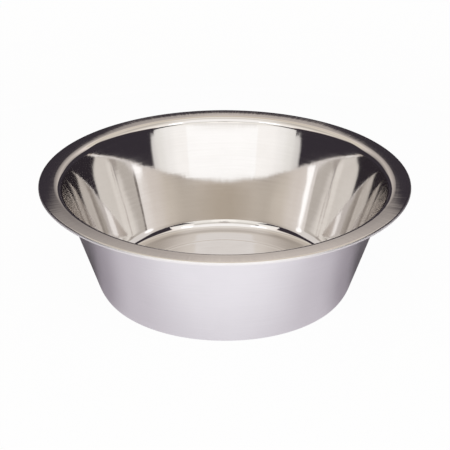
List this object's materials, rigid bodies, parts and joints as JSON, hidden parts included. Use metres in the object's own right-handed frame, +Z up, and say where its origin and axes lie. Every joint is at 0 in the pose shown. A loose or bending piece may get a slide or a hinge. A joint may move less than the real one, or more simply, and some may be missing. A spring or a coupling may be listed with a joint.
{
  "type": "stainless dog bowl",
  "caption": "Deep-drawn stainless steel pet bowl with a flared wall, a flat flange with a rolled edge and a pressed-up base that holds a rubber non-slip ring.",
  "frame": {"origin": "on the resting surface, under the middle of the bowl", "axes": "+Z up along the axis of revolution, X and Y in the resting surface; every direction round the axis is alike"},
  "size_m": [0.23, 0.23, 0.0732],
  "materials": {
    "stainless_steel": "polished on the food side, fine satin on the outside and the flange",
    "black_rubber": "matte moulded rubber"
  },
  "bodies": {
    "root": {"bowl_shell": "stainless_steel", "non_slip_ring": "black_rubber"}
  },
  "joints": []
}
